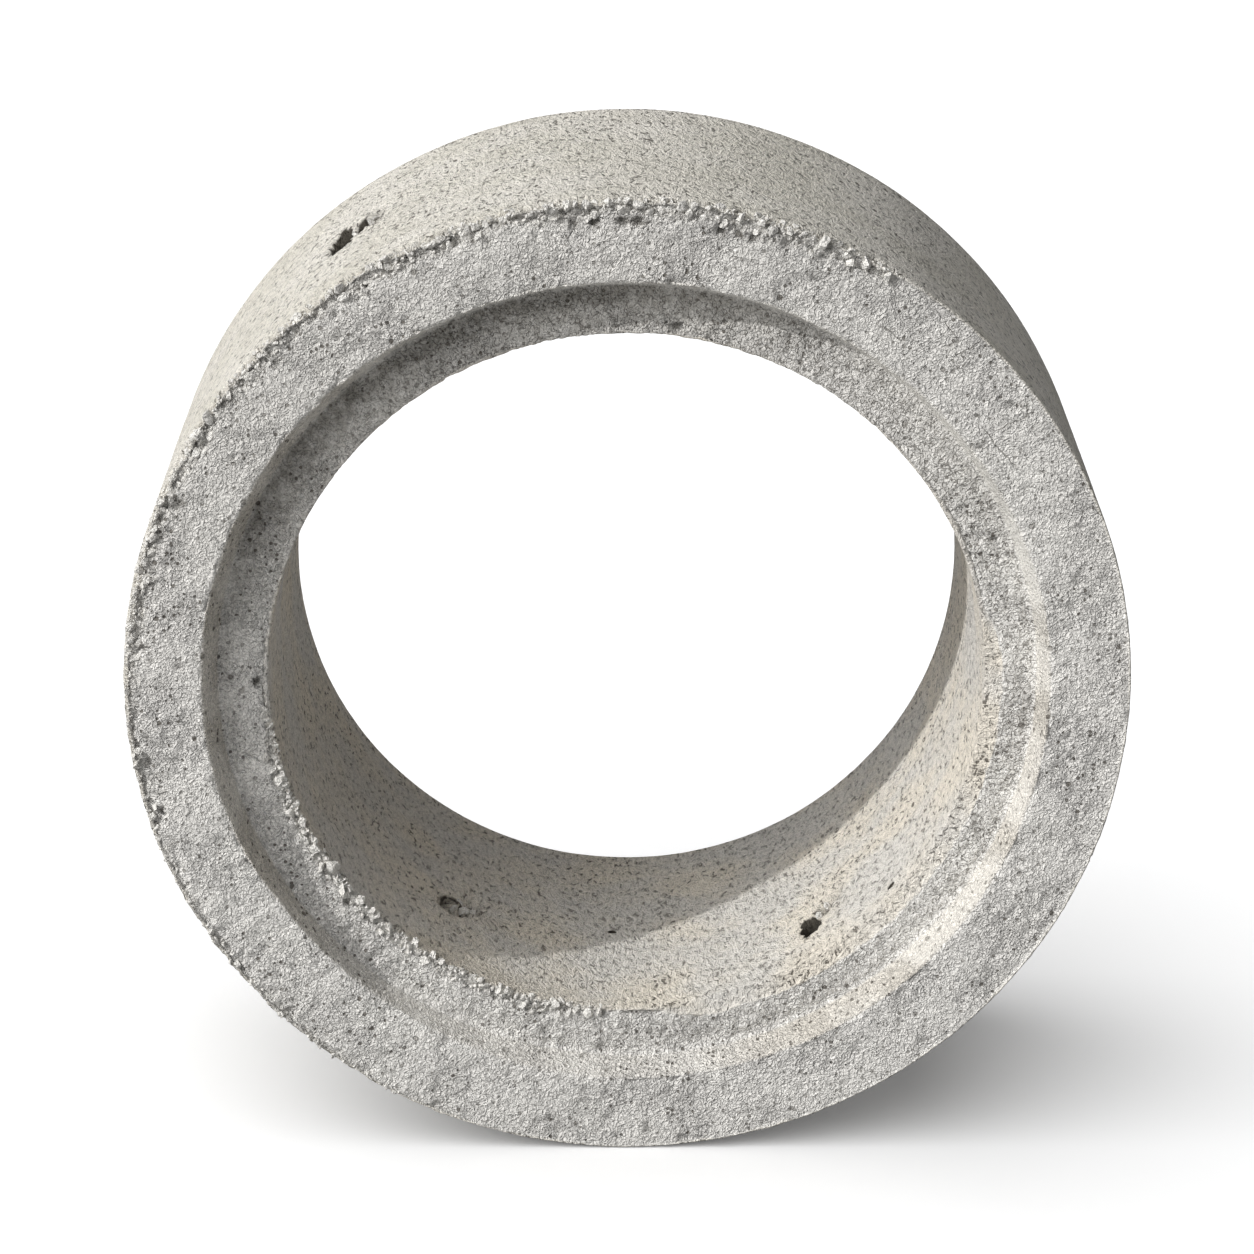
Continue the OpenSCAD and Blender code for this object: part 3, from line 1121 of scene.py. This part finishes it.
END_CLOUD = 0.045
WALL_CLOUD = 0.09
end_tone = concrete.blend(END_GREY, END_LIGHT, concrete.step(concrete.cloud(END_CLOUD, detail=3), 0.4, 0.7))
wall_cloud = concrete.step(concrete.cloud(WALL_CLOUD, detail=3), 0.35, 0.65)
barrel_tone = concrete.blend(BARREL_WARM, BARREL_PALE, wall_cloud)
bore_tone = concrete.blend(BORE_GREY, BORE_WARM, wall_cloud)
tone = concrete.blend(end_tone, barrel_tone, on_barrel)
tone = concrete.blend(tone, bore_tone, on_bore)
tone = concrete.blend(tone, REBATE_CREAM, concrete.step(on_rebate_side, 0.2, 0.9, 0.0, 0.8))
print(len(concrete.tree.nodes), "nodes so far")

# %% Grain, worms and blow holes
# How much the marks of the mould are drawn out along x, y and z, and the widths of the grains in metres
DRAWN_OFF = (1.0, 1.8, 1.0)
LUMP = 0.0038
WORM = 0.0040
GRAIN = 0.0015
WALL_LUMP = 0.0046
lumps = concrete.cloud(LUMP, detail=1.5, distortion=0.9)
worms = concrete.step(abs(concrete.cloud(WORM, detail=1.0) - 0.5), 0.0, 0.09, 1.0, 0.0)
grains = concrete.cloud(GRAIN, roughness=0.6)
wall_lumps = concrete.cloud(WALL_LUMP, DRAWN_OFF, roughness=0.6, distortion=0.7)
small_pits = concrete.pits(0.0044, share=0.70, widest=0.42)
end_pits = concrete.larger(concrete.pits(0.0095, share=0.50, widest=0.30), small_pits)
mould_pits = concrete.pits(0.0105, share=0.35, widest=0.25, stretch=DRAWN_OFF)
strokes = concrete.step(wall_lumps, 0.33, 0.395, 1.0, 0.0)
mark_strength = 0.35 + (on_barrel + on_bore) * (0.25 + wall_cloud * 0.40)
mould_marks = concrete.larger(mould_pits, strokes) * mark_strength
crevices = on_ledge * worms * concrete.step(lumps, 0.42, 0.54, 1.0, 0.0)
end_strength = 1 - on_trowelled * 0.35
end_marks = concrete.larger(end_pits * end_strength, crevices * 0.8)
marks = mould_marks + on_rough_end * (end_marks - mould_marks)
# Painted shade and dirt in the deepest parts of the hollows
hollow_shade_and_dirt = concrete.step(in_hollow + lumps, 1.15, 1.30)
print(len(concrete.tree.nodes), "nodes with the marks")

# %% Cracks
line_wobble = concrete.cloud(0.007, detail=3) - 0.5
off_line = abs(concrete.painted("crack_side") + line_wobble * 0.006)
cracked = concrete.step(off_line, 0.0002, 0.0008, 1.0, 0.0) * concrete.painted("crack_near")
print(len(concrete.tree.nodes), "nodes with the cracks")

# %% Colour of the marks
# How strongly each kind of mark shows, from 0 to 1
TROWELLED = 0.4
GRITTY = 0.25
PAINTED_SHADE_SHARE = 0.8
MARKED = 0.8
CRACKED = 0.6
HOLLOW_SHADE_AND_DIRT = 0.45
STONY_AND_PAINTED_LIGHT = 0.8
tone = concrete.blend(tone, END_LIGHT, on_rough_end * on_trowelled * TROWELLED)
tone = concrete.blend(tone, GRIT_BROWN, on_broken * concrete.step(grains, 0.42, 0.60) * GRITTY)
# Painted shade near the top of the ledge, and faintly on the bearing face above it
tone = concrete.blend(tone, PAINTED_SHADE_GREY, on_painted_shade * PAINTED_SHADE_SHARE)
# Painted shade in the low places of the relief and a faint painted highlight on its high places, on the
# struck end and on the moulded walls
end_relief_painted_shade = 1 - end_strength * concrete.step(lumps, 0.38, 0.60, 0.20, -0.06)
wall_relief_painted_shade = concrete.step(wall_lumps, 0.36, 0.62, 0.84, 1.06)
shade = wall_relief_painted_shade + on_rough_end * (end_relief_painted_shade - wall_relief_painted_shade)
speckle = 0.84 + 0.26 * concrete.step(grains, 0.36, 0.62)
tone = tone * (shade * speckle)
dark_marks = concrete.larger(concrete.larger(marks * MARKED, cracked * CRACKED), hollow_shade_and_dirt * HOLLOW_SHADE_AND_DIRT)
tone = concrete.blend(tone, PIT_DARK, dark_marks)
# Pale broken stones, and painted light on the side of the rebate at the upper right
tone = concrete.blend(tone, STONE_PALE_AND_PAINTED_LIGHT, stone_tops_and_painted_light * STONY_AND_PAINTED_LIGHT)
# Painted shade inside the holes and the torn mouths
tone = concrete.blend(tone, PAINTED_HOLE_SHADE, concrete.step(on_painted_hole_shade, 0.04, 0.28))
print(len(concrete.tree.nodes), "nodes with the colour")

# %% Bump and shader
# A bump's height is in metres, so each number here is how high one kind of grain stands.
rough_height = lumps * 0.0042 + worms * 0.0011 + grains * 0.0016 - end_pits * 0.0016
smooth_height = wall_lumps * 0.0050 + grains * 0.0022 - mould_marks * 0.0014
broken_height = lumps * 0.0034 + grains * 0.0020
height = on_rough_end * end_strength * rough_height + (1 - on_rough_end) * smooth_height
height = height + on_broken * broken_height - cracked * 0.0006
relief = concrete.node("Bump", None, strength=1.0, distance=1.0, height=height)
skin_shader = concrete.node(
    "BsdfPrincipled",
    None,
    base_color=tone,
    roughness=0.92,
    specular_ior_level=0.25,
    normal=relief,
)
concrete.node("OutputMaterial", None, skin_shader)
for canvas in (mesh, gravel_mesh):
    canvas.materials.append(concrete_material)
print(len(concrete.tree.nodes), "nodes in the concrete")

# %% [markdown]
# ## Floor and backdrop
# The ring stands on a plain white floor that runs into a white room. The camera sees the floor as pure
# white where it is lit, and the floor keeps its shadows. To everything else the floor is a plain pale
# grey, so that it doesn't throw more light at the ring than a workshop floor would.

# %% Floor
FLOOR_HALF = 30.0
FLOOR_GREY = (0.40, 0.40, 0.40)
FLOOR_SEEN = (0.95, 0.95, 0.95)
FLOOR_GLOW = (0.12, 0.12, 0.12)
floor_mesh = bpy.data.meshes.new("floor")
floor_corners = [(x * FLOOR_HALF, y * FLOOR_HALF, 0.0) for x, y in ((-1, -1), (1, -1), (1, 1), (-1, 1))]
floor_mesh.from_pydata(floor_corners, [], [(0, 1, 2, 3)])
floor = bpy.data.objects.new("floor", floor_mesh)
bpy.context.scene.collection.objects.link(floor)

floor_material = bpy.data.materials.new("white_floor")
paper = Finish(floor_material)
seen = paper.node("LightPath", output="Is Camera Ray")
lit = paper.node("BsdfDiffuse", None, paper.blend(FLOOR_GREY, FLOOR_SEEN, seen))
glow = paper.node("Emission", None, paper.blend((0.0, 0.0, 0.0), FLOOR_GLOW, seen), 1.0)
paper.node("OutputMaterial", None, paper.node("AddShader", None, lit, glow))
floor_mesh.materials.append(floor_material)
print("the floor is", 2 * FLOOR_HALF, "m wide")

# %% [markdown]
# ## Light
# A low sun from the upper left draws the lumps of the open end and throws the rebate's edge across the
# bore. Wide soft lights from the front, high and left, lift the shade, as the white walls of a studio
# would, and a faint one from behind reaches the far end of the barrel. The floor is lit apart from the
# ring, by a lamp as wide as a studio's ceiling, so that its shadow stays soft. Light linking says which
# lamp lights what.

# %% Lamps


def lamp(name, toward, strength, spread, lights):
    """A sun lamp that shines from a direction onto one collection of objects."""
    data = bpy.data.lights.new(name, "SUN")
    data.energy = strength
    data.angle = math.radians(spread)
    made = bpy.data.objects.new(name, data)
    made.rotation_euler = Vector(toward).to_track_quat("Z", "Y").to_euler()
    bpy.context.scene.collection.objects.link(made)
    receivers = bpy.data.collections.new(name + "_lights")
    for target in lights:
        receivers.objects.link(target)
    made.light_linking.receiver_collection = receivers


def from_front_left(round_the_ring, to_the_front):
    """The direction to a light: its angle round the ring, and how far it stands in front of the ring's
    plane, both in degrees."""
    turned_by = math.radians(round_the_ring)
    raised_by = math.radians(to_the_front)
    flat = math.cos(raised_by)
    return flat * math.cos(turned_by), -math.sin(raised_by), flat * math.sin(turned_by)


concrete_pieces = [riser, gravel]
lamp("sun", from_front_left(144, 22.5), strength=2.03, spread=0.9, lights=concrete_pieces)
lamp("high_fill", from_front_left(144, 40), strength=0.29, spread=16, lights=concrete_pieces)
lamp("top_fill", from_front_left(120, 30), strength=1.47, spread=50, lights=concrete_pieces)
lamp("left_fill", from_front_left(170, 25), strength=0.44, spread=40, lights=concrete_pieces)
lamp("back_light", from_front_left(100, -10), strength=0.26, spread=40, lights=concrete_pieces)
lamp("floor_light", (-0.45, -0.26, 1.0), strength=3.6, spread=100, lights=[floor])
print(len(bpy.data.lights), "lamps")

# %% The white room
ROOM_DIM = (0.103, 0.105, 0.109)
ROOM_SEEN = (1.0, 1.0, 1.0)
world = bpy.data.worlds.new("white_room")
bpy.context.scene.world = world
sky = Finish(world)
seen = sky.node("LightPath", output="Is Camera Ray")
sky_colour = sky.blend(ROOM_DIM, ROOM_SEEN, seen)
sky.node("OutputWorld", None, sky.node("Background", None, sky_colour, 1.0))
print("the room lights the ring with", ROOM_DIM)

# %% [markdown]
# ## Camera
# The camera stands a little over three metres from the open end and looks down at it, so that the top of
# the barrel and the bottom of the bore both show.

# %% Camera
CAMERA_ELEVATION = math.radians(19.198)
CAMERA_AZIMUTH = math.radians(-0.085)
CAMERA_DISTANCE = 3.3936
FACE_BELOW_AXIS = 0.0550
view_line = Vector((
    -math.sin(CAMERA_AZIMUTH) * math.cos(CAMERA_ELEVATION),
    math.cos(CAMERA_AZIMUTH) * math.cos(CAMERA_ELEVATION),
    -math.sin(CAMERA_ELEVATION),
))
side_line = view_line.cross(Vector((0, 0, 1))).normalized()
up_line = side_line.cross(view_line)
lens = bpy.data.cameras.new("camera")
lens.sensor_width = 36.0
lens.lens = 117.155
camera = bpy.data.objects.new("camera", lens)
camera.location = Vector((0, face_y, centre_z)) - view_line * CAMERA_DISTANCE + up_line * FACE_BELOW_AXIS
camera.rotation_euler = view_line.to_track_quat("-Z", "Y").to_euler()
bpy.context.scene.collection.objects.link(camera)
bpy.context.scene.camera = camera
bpy.context.scene.view_settings.view_transform = "Standard"
print("the camera stands at", tuple(round(part, 3) for part in camera.location))
